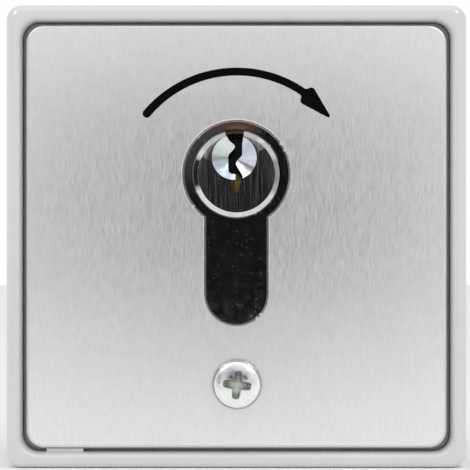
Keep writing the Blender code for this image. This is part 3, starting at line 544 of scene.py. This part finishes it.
# A darker, mottled copy of the zinc in the cross recess: painted shade, with a painted highlight on the
# recess's floor.
RECESS_PAINTED_SHADE = material("cross_recess_painted_shade", (0.40, 0.43, 0.41), 0.42, metallic=0.6, scale=3600, colour_spread=0.7,
                  rough_spread=0.12, bump=0.6, depth=0.00006, detail=4.0)
RECESS_FLOOR_PAINTED_HIGHLIGHT = spot(RECESS_PAINTED_SHADE.node_tree, (0.0, -58.0, -24.5), 0.9, 0.6, 1.2, (1, 0.1, 1))
tint(RECESS_PAINTED_SHADE, RECESS_FLOOR_PAINTED_HIGHLIGHT, (0.86, 0.90, 0.85), 0.75)
PLAIN_ZINC = metal("plain_zinc", (0.80, 0.81, 0.80), 0.32, scale=1400, colour_spread=0.05,
                   rough_spread=0.06, bump=0.08, depth=0.000008)
BRASS = material("turned_brass", (0.95, 0.72, 0.30), 0.38, metallic=0.7, stretch=(800, 800, 6000),
                 colour_spread=0.12, bump=0.2)
EARTH_BRASS = metal("earth_brass", (0.78, 0.58, 0.26), 0.28, scale=1800, colour_spread=0.08, bump=0.2)
SPRING_WIRE = metal("spring_wire", (0.55, 0.55, 0.54), 0.25, scale=2400, colour_spread=0.05,
                    rough_spread=0.05, bump=0.06, depth=0.000005)
STRIP_STEEL = metal("strip_steel", (0.60, 0.60, 0.60), 0.3, stretch=(3000, 3000, 300),
                    colour_spread=0.05, rough_spread=0.05, bump=0.08, depth=0.000004)
SINTERED = metal("sintered_steel", (0.30, 0.30, 0.30), 0.5, scale=3500, colour_spread=0.2,
                 rough_spread=0.1, bump=0.5, depth=0.00005, detail=5.0)
CONTACT = metal("plated_strip", (0.80, 0.66, 0.44), 0.28, scale=2200, colour_spread=0.08, bump=0.2)
SEAL = material("grey_seal", (0.30, 0.32, 0.29), 0.8, scale=1500, colour_spread=0.12, bump=0.3,
                depth=0.00005)
RUBBER = material("black_rubber", (0.022, 0.022, 0.023), 0.72, scale=1500, colour_spread=0.25, bump=0.3,
                  depth=0.00005)
CARRIER = material("moulded_carrier", (0.09, 0.095, 0.10), 0.48, scale=2600, colour_spread=0.12,
                   bump=0.35, depth=0.00004)
SWITCH = material("switch_plastic", (0.03, 0.03, 0.032), 0.38, scale=3000, colour_spread=0.2,
                  rough_spread=0.06, bump=0.2, depth=0.00003)
PLUNGER = material("red_plunger", (0.5, 0.05, 0.03), 0.35, scale=2000, colour_spread=0.1,
                   rough_spread=0.05, bump=0.15)


def dress(item, *materials):
    item.data.materials.clear()
    for entry in materials:
        item.data.materials.append(entry)


def put(item, body, slot, *nodes):
    """Fix a piece to its body, in place of the CAD nodes that it shows in detail."""
    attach(item, body)
    if nodes:
        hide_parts(*nodes)


# --- housing --------------------------------------------------------------------------------------

def round_over(width, height, radius, bulge, front, steps=8, reach=None):
    """Rings that round a rectangle's front edge: narrower at the front, full size behind it."""
    rings = []
    for index in range(steps + 1):
        angle = math.pi / 2 * index / steps
        inset = bulge * (1 - math.sin(angle))
        depth = front + (reach or bulge) * (1 - math.cos(angle))
        rings.append((rounded_rectangle(width - 2 * inset, height - 2 * inset, radius - inset * 0.6), depth))
    return rings


def flare(width, height, radius, spread, front):
    """Rings of a hollow that opens out to its front edge in a curve."""
    steps, reach = 12, 2.8
    rings = [(rounded_rectangle(width + 2 * spread, height + 2 * spread, radius + spread), front - 2)]
    for index in range(steps + 1):
        angle = math.pi / 2 * index / steps
        out = spread * (1 - math.sin(angle))
        depth = front + reach * (1 - math.cos(angle))
        rings.append((rounded_rectangle(width + 2 * out, height + 2 * out, radius + out), depth))
    return rings


def add_screw_boss(item, sx, sz):
    """A square boss for a carrier screw in one corner, with a web to each of the two walls."""
    x, z = sx * CARRIER_SCREWS, sz * CARRIER_SCREWS
    half, web = 3.6, 1.1
    square = [(x + px, z + pz) for px, pz in [(-half, -half), (half, -half), (half, half), (-half, half)]]
    combine(item, prism("boss", square, -49.0, -1.4), "UNION")
    combine(item, block("web", (sorted((sx * 30, sx * 35.5)), (-48.9, -1.5), (z - web, z + web))), "UNION")
    combine(item, block("web", ((x - web, x + web), (-48.8, -1.6), sorted((sz * 30, sz * 35.6)))), "UNION")
    combine(item, rod("hole", (x, z), 1.9, (-51, -36), segments=24))


def make_housing():
    outer = round_over(*HOUSING, 1.35, FRONT)
    back = [(rounded_rectangle(*HOUSING), -0.4), (rounded_rectangle(74.4, 74.8, 2.3), 0.0)]
    item = loft("housing_shell", outer + back)
    hollow = flare(*HOLLOW, 1.2, FRONT) + [(rounded_rectangle(*HOLLOW), FLOOR_Y)]
    combine(item, loft("hollow", hollow))
    for sx in (-1, 1):
        for sz in (-1, 1):
            add_screw_boss(item, sx, sz)
    combine(item, block("rib", ((-31, -25), (-56.4, -50.2), (-35.6, -34.58))), "UNION")
    combine(item, rod("earth_boss", (-24, -16), 4.6, (-9.0, -1.4), segments=48), "UNION")
    combine(item, rod("earth_hole", (-24, -16), 2.3, (-11.0, -2.0), segments=24))
    for z in (30, -30):
        combine(item, rod("wall_hole", (0, z), 2.4, (-5, 2), segments=48))
        combine(item, rod("wall_sink", (0, z), 3.0, (-0.5, 0.5), segments=48, end_radius=3.6))
    combine(item, rod("rear_hole", (-17, 6), 8.2, (-5, 2), segments=72))
    combine(item, rod("cable_hole", (-14, -24), 8.2, (-40, -34), "Z", segments=72))
    smooth(item, 30)
    dress(item, ENAMEL)
    put(item, "base", "housing_paint", "housing")


# --- front plate and its print --------------------------------------------------------------------

def make_seal():
    """The moulded gasket: a band behind the plate's flange, and a lip that fills the gap round the plate."""
    wall = rounded_rectangle(69.78, 69.98, 2.69)
    band = rounded_rectangle(68.4, 68.7, 2.8)
    item = loft("plate_gasket_seal", [
        (rounded_rectangle(69.2, 69.4, 2.4), LIP_FRONT),
        (rounded_rectangle(69.6, 69.8, 2.6), LIP_FRONT + 0.12),
        (wall, LIP_FRONT + 0.4), (wall, -53.2), (band, -52.85), (band, -51.9)])
    combine(item, prism("inside", rounded_rectangle(62.6, 62.9, 2.0), -53.0, -51.0))
    combine(item, prism("recess", rounded_rectangle(*PLATE), -59.0, -52.85))
    smooth(item, 30)
    dress(item, SEAL)
    put(item, "base", "seal_rubber", "plate_gasket")


def make_plate():
    """The pressed tray, with a shinier edge round the keyhole, lightened as a painted highlight, and a duller
    bend round the outside, darkened as painted shade.
    """
    rings = round_over(*PLATE, 0.45, PLATE_FRONT, 10, 0.4)
    item = loft("front_plate_sheet", rings + [(rounded_rectangle(*PLATE), -53.0)])
    combine(item, prism("inside", rounded_rectangle(66.2, 66.5, 1.7), -55.8, -51.0))
    combine(item, prism("keyhole", profile_outline(HOLE_GAP), -59.0, -54.0))
    combine(item, rod("screw_hole", (0, SCREW[1]), 2.4, (-59, -54), segments=40))
    edge_width, edge_depth, ahead = 0.36, 0.10, 0.2
    slope = edge_width / edge_depth
    combine(item, loft("keyhole_edge", [
        (profile_outline(HOLE_GAP + edge_width + ahead * slope), PLATE_FRONT - ahead),
        (profile_outline(HOLE_GAP), PLATE_FRONT + edge_depth)]))
    smooth(item, 14)
    dress(item, BRUSHED, EDGE_SHINY_AND_HIGHLIGHTED, BEND_DULL_AND_SHADED)
    bright, bend = 1, 2
    for face in item.data.polygons:
        centre = face.center / MM
        near_hole = abs(centre.x) < 9.6 and -15.5 < centre.z < 19.8
        # the keyhole's bevel takes the lighter copy, a painted highlight
        if near_hole and abs(face.normal.y) < 0.97 and centre.y < -56.7:
            face.material_index = bright
        # the outer bend takes the darker copy, painted shade
        elif not near_hole and centre.y > -56.999:
            face.material_index = bend
    put(item, "base", "plate_steel", "front_plate")


def at_arc(radius, degrees):
    """A point at an angle clockwise from up on a circle about the arrow's own centre."""
    angle = math.radians(degrees)
    x, z = ARROW_CENTRE
    return Vector((x + radius * math.sin(angle), z + radius * math.cos(angle)))


def turn_corner(before, corner, after, reach, steps=8):
    """Points on a curve that cuts a corner, from a reach before it to a reach after it."""
    start = corner + (before - corner).normalized() * reach
    stop = corner + (after - corner).normalized() * reach
    return [tuple(start * (1 - t) ** 2 + corner * 2 * t * (1 - t) + stop * t * t)
            for t in (step / steps for step in range(steps + 1))]


def arrow_outline():
    """A clockwise arrow over the cylinder: a round-ended band on an arc, with a soft-cornered head."""
    radius, half, start, neck = 19.1, 0.64, -50.2, 34.7
    steps = 48
    angles = [start + (neck - start) * index / steps for index in range(steps + 1)]
    outer = [at_arc(radius + half + 0.1 * max(0.0, -angle / 50), angle) for angle in angles]
    inner = [at_arc(radius - half, angle) for angle in reversed(angles)]
    middle = (outer[0] + inner[-1]) / 2
    cap = arc(middle.x, middle.y, half + 0.05, start + 180, start + 360, 12)[1:-1]
    wide, narrow = at_arc(radius + 1.65, neck + 1.9), at_arc(radius - 1.72, neck + 1.2)
    tip = at_arc(radius + 0.1, 54.3)
    head = turn_corner(outer[-1], wide, tip, 0.62) + turn_corner(wide, tip, narrow, 1.4)
    head += turn_corner(tip, narrow, inner[0], 0.62)
    fillet = turn_corner(outer[-4], outer[-1], wide, 0.3)
    second = turn_corner(narrow, inner[0], inner[3], 0.3)
    return [tuple(p) for p in outer[:-2]] + fillet + head + second + [tuple(p) for p in inner[2:]] + cap


def make_arrow():
    item = prism("turn_arrow_print", arrow_outline(), PLATE_FRONT - 0.035, PLATE_FRONT + 0.01)
    soft_edges(item, 0.01)
    dress(item, PRINT)
    put(item, "base", "seal_rubber")


# --- screws ---------------------------------------------------------------------------------------

def cross_outline(arm, width):
    """The section of the screw's cross recess."""
    x, z = SCREW
    half = width / 2
    quarter = [(-half * 1.15, half * 1.15), (-half, arm - 0.25), (-half + 0.2, arm), (half - 0.2, arm),
               (half, arm - 0.25)]
    out = []
    for step in range(4):
        angle = math.radians(SCREW_TURN + 90 * step)
        for px, pz in quarter:
            out.append((x + px * math.cos(angle) + pz * math.sin(angle),
                        z + pz * math.cos(angle) - px * math.sin(angle)))
    return out


def dome_front(reach):
    """How far forward the screw's head stands, at a distance from its axis."""
    reach = min(reach, DOME_RADIUS)
    return SCREW_SEAT - 0.75 - 1.3 * math.sqrt(1 - (reach / 4.15) ** 2)


def make_plate_screw():
    edge = dome_front(DOME_RADIUS)
    profile = [(0, -46.0), (1.4, -46.0), (1.8, -46.5), (1.8, SCREW_SEAT), (3.95, SCREW_SEAT),
               (4.06, SCREW_SEAT - 0.1), (4.06, SCREW_SEAT - 0.5), (4.0, SCREW_SEAT - 0.8),
               (3.86, edge + 0.32), (3.7, edge + 0.12)]
    for index in range(12, -1, -1):
        reach = DOME_RADIUS * index / 12
        profile.append((reach, dome_front(reach)))
    item = turned("plate_screw_detail", SCREW, profile)
    wide, big, small = cross_outline(2.4, 1.4), cross_outline(2.28, 1.15), cross_outline(1.5, 0.7)
    combine(item, loft("cross", [(wide, -60.5), (wide, -59.2), (big, -58.9), (small, -57.7)]))
    combine(item, rod("cross_core", SCREW, 1.3, (-60.5, -57.4), segments=32, end_radius=0.5))
    smooth(item, 32)
    dress(item, ZINC, RECESS_PAINTED_SHADE, ZINC_EDGE_PAINTED_SHADE)
    recess, side = 1, 2
    for face in item.data.polygons:
        centre = face.center / MM
        reach = math.hypot(centre.x - SCREW[0], centre.z - SCREW[1])
        # the cross recess takes the painted shade
        if reach < 2.6 and SCREW_SEAT > centre.y > dome_front(reach) + 0.14:
            face.material_index = recess
        # the head's side takes the painted shade
        elif reach > 3.68 and centre.y < SCREW_SEAT:
            face.material_index = side
    put(item, "base", "zinc_screw", "plate_screw")


# --- cylinder -------------------------------------------------------------------------------------

def keyway_outline():
    """The keyway's section, from heights above the cylinder's axis: down its left side and up its right."""
    left = [(-2.0, 7.7), (-1.78, 6.37), (-1.17, 5.43), (-0.42, 4.82), (-0.28, 4.62), (-0.28, 4.36),
            (-0.42, 4.1), (-1.22, 3.26), (-1.36, 2.95), (-1.31, 0.55), (-1.2, 0.28), (-0.84, 0.03),
            (-0.2, 0.0), (-0.16, -0.1), (-0.2, -0.9), (-0.42, -1.4), (-0.8, -2.0), (-0.87, -2.5)]
    foot = [(-0.87, -2.94), (0.38, -2.94), (0.45, -2.3)]
    right = [(0.85, -1.19), (1.0, -0.5), (0.95, -0.2), (0.05, 1.3), (-0.08, 1.6), (-0.05, 1.95), (0.1, 2.2),
             (0.78, 2.9), (0.92, 3.15), (0.95, 5.0), (1.19, 6.37), (1.3, 7.7)]
    return [(x, AXIS_Z + z) for x, z in left + foot + right]


def pin_y(index):
    return FIRST_PIN_Y + PIN_PITCH * index


def make_plug():
    front = CYLINDER_FRONT
    profile = [(0, -20.2), (4.5, -20.2), (4.5, -31.75), (3.9, -31.75), (3.9, -32.6), (4.5, -32.6),
               (4.5, -32.95), (6.5, -32.95), (6.5, -55.75), (7.24, -55.75), (7.24, front + 0.43),
               (7.22, front + 0.39), (6.33, front + 0.03), (6.25, front), (0, front)]
    item = turned("plug_detail", (0, AXIS_Z), profile, 128)
    wide, narrow, deep, ahead = 3.65, 0.5, 2.0, 0.4
    slope = (wide - narrow) / deep
    combine(item, rod("dish", DISH, wide + ahead * slope, (front - ahead, front + deep), segments=96,
                      end_radius=narrow))
    combine(item, prism("keyway", keyway_outline(), front - 1, -33.4))
    for index in range(5):
        combine(item, rod("chamber", (0, pin_y(index)), 1.5, (AXIS_Z - 9, AXIS_Z + 0.25), "Z", 32))
    combine(item, block("flat", ((3.5, 8), (-31.85, -18), (AXIS_Z - 8, AXIS_Z + 8))))
    combine(item, block("flat", ((-8, -3.5), (-31.85, -18), (AXIS_Z - 8, AXIS_Z + 8))))
    smooth(item, 25)
    # the face's near-black colour is a painted dark reflection
    dress(item, PLUG_PAINTED_DARK_REFLECTION, CUT_WITH_PAINTED_REFLECTIONS, DISH_WITH_PAINTED_REFLECTIONS, KEYWAY_PAINTED_SHADE, BARREL)
    ring, dish, keyway, barrel = 1, 2, 3, 4
    for face in item.data.polygons:
        centre = face.center / MM
        reach = math.hypot(centre.x, centre.z - AXIS_Z)
        dish_reach = math.hypot(centre.x - DISH[0], centre.z - DISH[1])
        if centre.y < front + 0.5 and reach > 6.25 and -0.99 < face.normal.y < -0.3:
            face.material_index = ring
        elif front + 0.01 < centre.y < front + 2.1 and dish_reach < 3.8 and face.normal.y < -0.2:
            face.material_index = dish
        elif reach > 4.3 and face.normal.x * centre.x + face.normal.z * (centre.z - AXIS_Z) > 0.95 * reach:
            face.material_index = barrel
        # keyway and chamber walls take the painted shade
        elif centre.y > front and reach < 6.4 and abs(face.normal.y) < 0.2 and centre.y < -33:
            face.material_index = keyway
        elif centre.y > front and reach < 6.9 and abs(face.normal.y) < 0.05:
            face.material_index = keyway
    put(item, "core", "cylinder_nickel", "plug")


def make_body():
    outline = profile_outline(0.08)
    inset = profile_outline(0.0)
    item = loft("cylinder_body_detail", [(inset, CYLINDER_FRONT), (outline, -57.5), (outline, -17.8),
                                         (inset, -17.6)])
    combine(item, rod("collar", (0, AXIS_Z), 7.33, (-58.6, -55.6), segments=128))
    combine(item, rod("bore", (0, AXIS_Z), 6.65, (-56.1, -32.0), segments=96))
    combine(item, block("slot", ((-12, 12), (-32.8, -22.4), (AXIS_Z - 15.7, AXIS_Z + 12))))
    combine(item, rod("rear_bore", (0, AXIS_Z), 4.7, (-23.2, -19.6), segments=64))
    for index in range(5):
        combine(item, rod("chamber", (0, pin_y(index)), 1.55, (AXIS_Z - 27, AXIS_Z - 6), "Z", 32))
    combine(item, rod("screw_hole", (-27.6, AXIS_Z - 20.0), 2.7, (-8, 8), "X", 48))
    smooth(item, 25)
    # the body's dark colour is a painted reflection
    dress(item, NICKEL_PAINTED_DARK_REFLECTION)
    put(item, "base", "cylinder_nickel", "cylinder_body")


# --- springs --------------------------------------------------------------------------------------

def around(radius, degrees, y):
    """A point at an angle clockwise from up about the cylinder's axis."""
    angle = math.radians(degrees)
    return (radius * math.sin(angle), y, AXIS_Z + radius * math.cos(angle))


def rounded_path(points, reach):
    path = [points[0]]
    for before, corner, after in zip(points, points[1:], points[2:]):
        path += turn_corner(Vector(before), Vector(corner), Vector(after), reach, 6)
    return path + [points[-1]]


def make_return_spring():
    """The turns run from the moving leg by the plug round to the fixed leg, and are fixed to no body.

    The fixed leg reaches forward beside them, so it is a piece of its own.
    """
    wire, coil_radius, leg_radius, steps = 0.5, 5.3, 10.5, 192
    start = math.degrees(math.asin((4.0 + 0.5 + 0.12) / leg_radius))
    stop = 180 + 360 * 4
    coil = []
    for step in range(steps + 1):
        t = step / steps
        coil.append(around(coil_radius, start + (stop - start) * t, -14.8 + 4.8 * t))
    moving = rounded_path([around(leg_radius, start, -24.6), around(leg_radius, start, -14.8), coil[0]], 1.2)
    fixed = rounded_path([coil[-1], around(9.0, 180, -10.0), around(9.0, 180, -16.9)], 1.2)
    turns = tube("return_spring_turns", moving[:-1] + coil, wire)
    tail = tube("return_spring_tail", fixed, wire)
    for item in (turns, tail):
        smooth(item, 60)
        dress(item, SPRING_WIRE)
        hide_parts("return_spring")
    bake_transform(turns)
    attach(tail, "base")


def make_pin_springs():
    turns, steps = 5.5, 120
    for number in range(1, 6):
        low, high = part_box(f"pin_spring_{number}")
        y = pin_y(number - 1)
        foot, top = low.z / MM + 0.2, high.z / MM - 0.2
        path = []
        for step in range(steps + 1):
            angle = 2 * math.pi * turns * step / steps
            path.append((math.cos(angle), y + math.sin(angle), foot + (top - foot) * step / steps))
        item = tube(f"pin_spring_coil_{number}", path, 0.19, 8)
        smooth(item, 60)
        dress(item, SPRING_WIRE)
        put(item, "base", "spring_steel", f"pin_spring_{number}")
        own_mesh(item)


# --- the CAD nodes that stay ----------------------------------------------------------------------

FINISHES = {
    "cable_grommet": RUBBER, "rear_entry_plug": RUBBER, "earth_washer": EARTH_BRASS,
    "carrier": CARRIER, "cam": SINTERED, "plug_clip": STRIP_STEEL, "spring_plate": STRIP_STEEL,
    "switch_lever": STRIP_STEEL, "switch_lever_pin": STRIP_STEEL, "switch_case": SWITCH,
    "switch_cover": SWITCH, "switch_plunger": PLUNGER, "switch_blade": CONTACT,
    "switch_terminal_common": CONTACT, "switch_terminal_no": CONTACT, "switch_terminal_nc": CONTACT,
}


def dress_nodes():
    for name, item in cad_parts.items():
        if name in FINISHES:
            finish = FINISHES[name]
        elif "screw" in name:
            finish = PLAIN_ZINC
        elif "pin" in name or "plug_" in name:
            finish = BRASS
        else:
            finish = SPRING_WIRE
        dress(item, finish)


# --- stage, light and camera ----------------------------------------------------------------------

def face_towards(item, place, aim):
    item.location = place
    item.rotation_euler = (Vector(aim) - Vector(place)).to_track_quat("-Z", "Y").to_euler()


def card(name, size, place, aim, strength):
    """A staged, glowing card that only reflections see."""
    bm = bmesh.new()
    bmesh.ops.create_grid(bm, x_segments=1, y_segments=1, size=0.5)
    item = new_piece(name, bm)
    item.scale = (size[0], size[1], 1)
    face_towards(item, place, aim)
    made = bpy.data.materials.new(name)
    made.use_nodes = True
    tree = made.node_tree
    tree.nodes.clear()
    out = node(tree, "ShaderNodeOutputMaterial")
    glow = node(tree, "ShaderNodeEmission")
    glow.inputs["Color"].default_value = (1, 1, 1, 1)
    glow.inputs["Strength"].default_value = strength
    tree.links.new(glow.outputs["Emission"], out.inputs["Surface"])
    item.data.materials.append(made)
    item.visible_camera = False
    item.visible_diffuse = False
    item.visible_shadow = False
    item.visible_transmission = False


def area_light(name, size, place, aim, power):
    light = bpy.data.lights.new(name, "AREA")
    light.shape = "RECTANGLE"
    light.size, light.size_y = size
    light.energy = power
    item = bpy.data.objects.new(name, light)
    bpy.context.scene.collection.objects.link(item)
    face_towards(item, place, aim)


def make_floor():
    bm = bmesh.new()
    bmesh.ops.create_grid(bm, x_segments=1, y_segments=1, size=1.5)
    floor = new_piece("floor", bm)
    floor.location = (0, 0, -0.03771)
    dress(floor, material("pale_floor", (0.98, 0.98, 0.965), 0.7, scale=300, colour_spread=0.01, bump=0.02))


# How bright the surroundings are, from straight down (0) to straight up (1). Their green is a little stronger
# below the horizon and a little weaker above it.
SKY_LEVELS = [(0.0, 1.0), (0.30, 1.10), (0.44, 1.03), (0.548, 1.0), (0.565, 0.865), (0.68, 0.74),
              (0.82, 0.71), (1.0, 1.1)]


def make_world():
    world = bpy.data.worlds.new("studio")
    bpy.context.scene.world = world
    world.use_nodes = True
    tree = world.node_tree
    background = tree.nodes["Background"]
    sky = node(tree, "ShaderNodeTexCoord")
    split = node(tree, "ShaderNodeSeparateXYZ")
    height = node(tree, "ShaderNodeMapRange")
    height.inputs["From Min"].default_value = -1.0
    ramp = node(tree, "ShaderNodeValToRGB")
    fill_ramp(ramp.color_ramp, [(at, (level, level * (1.012 if at < 0.5 else 0.99), level))
                                for at, level in SKY_LEVELS])
    tree.links.new(sky.outputs["Generated"], split.inputs["Vector"])
    tree.links.new(split.outputs["Z"], height.inputs["Value"])
    tree.links.new(height.outputs["Result"], ramp.inputs["Fac"])
    tree.links.new(ramp.outputs["Color"], background.inputs["Color"])


def make_lights():
    """Two small lights with a glint card at each, one light overhead, and cards that the cylinder mirrors."""
    target = (0, -0.05, 0)
    upper_left, upper_right = (-0.33, -0.446, 0.437), (0.33, -0.446, 0.437)
    area_light("key_left", (0.05, 0.05), upper_left, target, 0.08)
    area_light("key_right", (0.05, 0.05), upper_right, target, 0.16)
    area_light("overhead", (0.50, 0.30), (0, -0.24, 0.45), (0, -0.14, 0), 0.25)
    face = FRONT * MM
    card("front_dark", (0.042, 0.053), (0, -0.20, 0.0040), (0, face, 0.0040), 0.032)
    card("front_dim", (0.114, 0.058), (0, -0.203, 0.0062), (0, face, 0.0062), 0.21)
    card("glint", (0.07, 0.06), upper_left, target, 42)
    card("glint", (0.07, 0.06), upper_right, target, 44)
    level = AXIS_Z * MM - 0.014
    card("left_dark", (0.075, 0.165), (-0.165, -0.245, level), (0, face, level), 0.03)


VIEW_WIDTH = 0.07653
VIEW_PLANE = -0.0575


def make_camera():
    data = bpy.data.cameras.new("camera")
    data.lens = 200.0
    data.sensor_width = 36.0
    data.clip_start = 0.01
    data.clip_end = 20.0
    item = bpy.data.objects.new("camera", data)
    bpy.context.scene.collection.objects.link(item)
    item.location = (-0.00024, VIEW_PLANE - VIEW_WIDTH * data.lens / data.sensor_width, 0.00026)
    item.rotation_euler = (math.pi / 2, 0, 0)
    bpy.context.scene.camera = item
    bpy.context.scene.view_settings.view_transform = "Standard"


dress_nodes()
make_housing()
make_seal()
make_plate()
make_arrow()
make_plate_screw()
make_plug()
make_body()
make_return_spring()
make_pin_springs()
make_floor()
make_world()
make_lights()
make_camera()
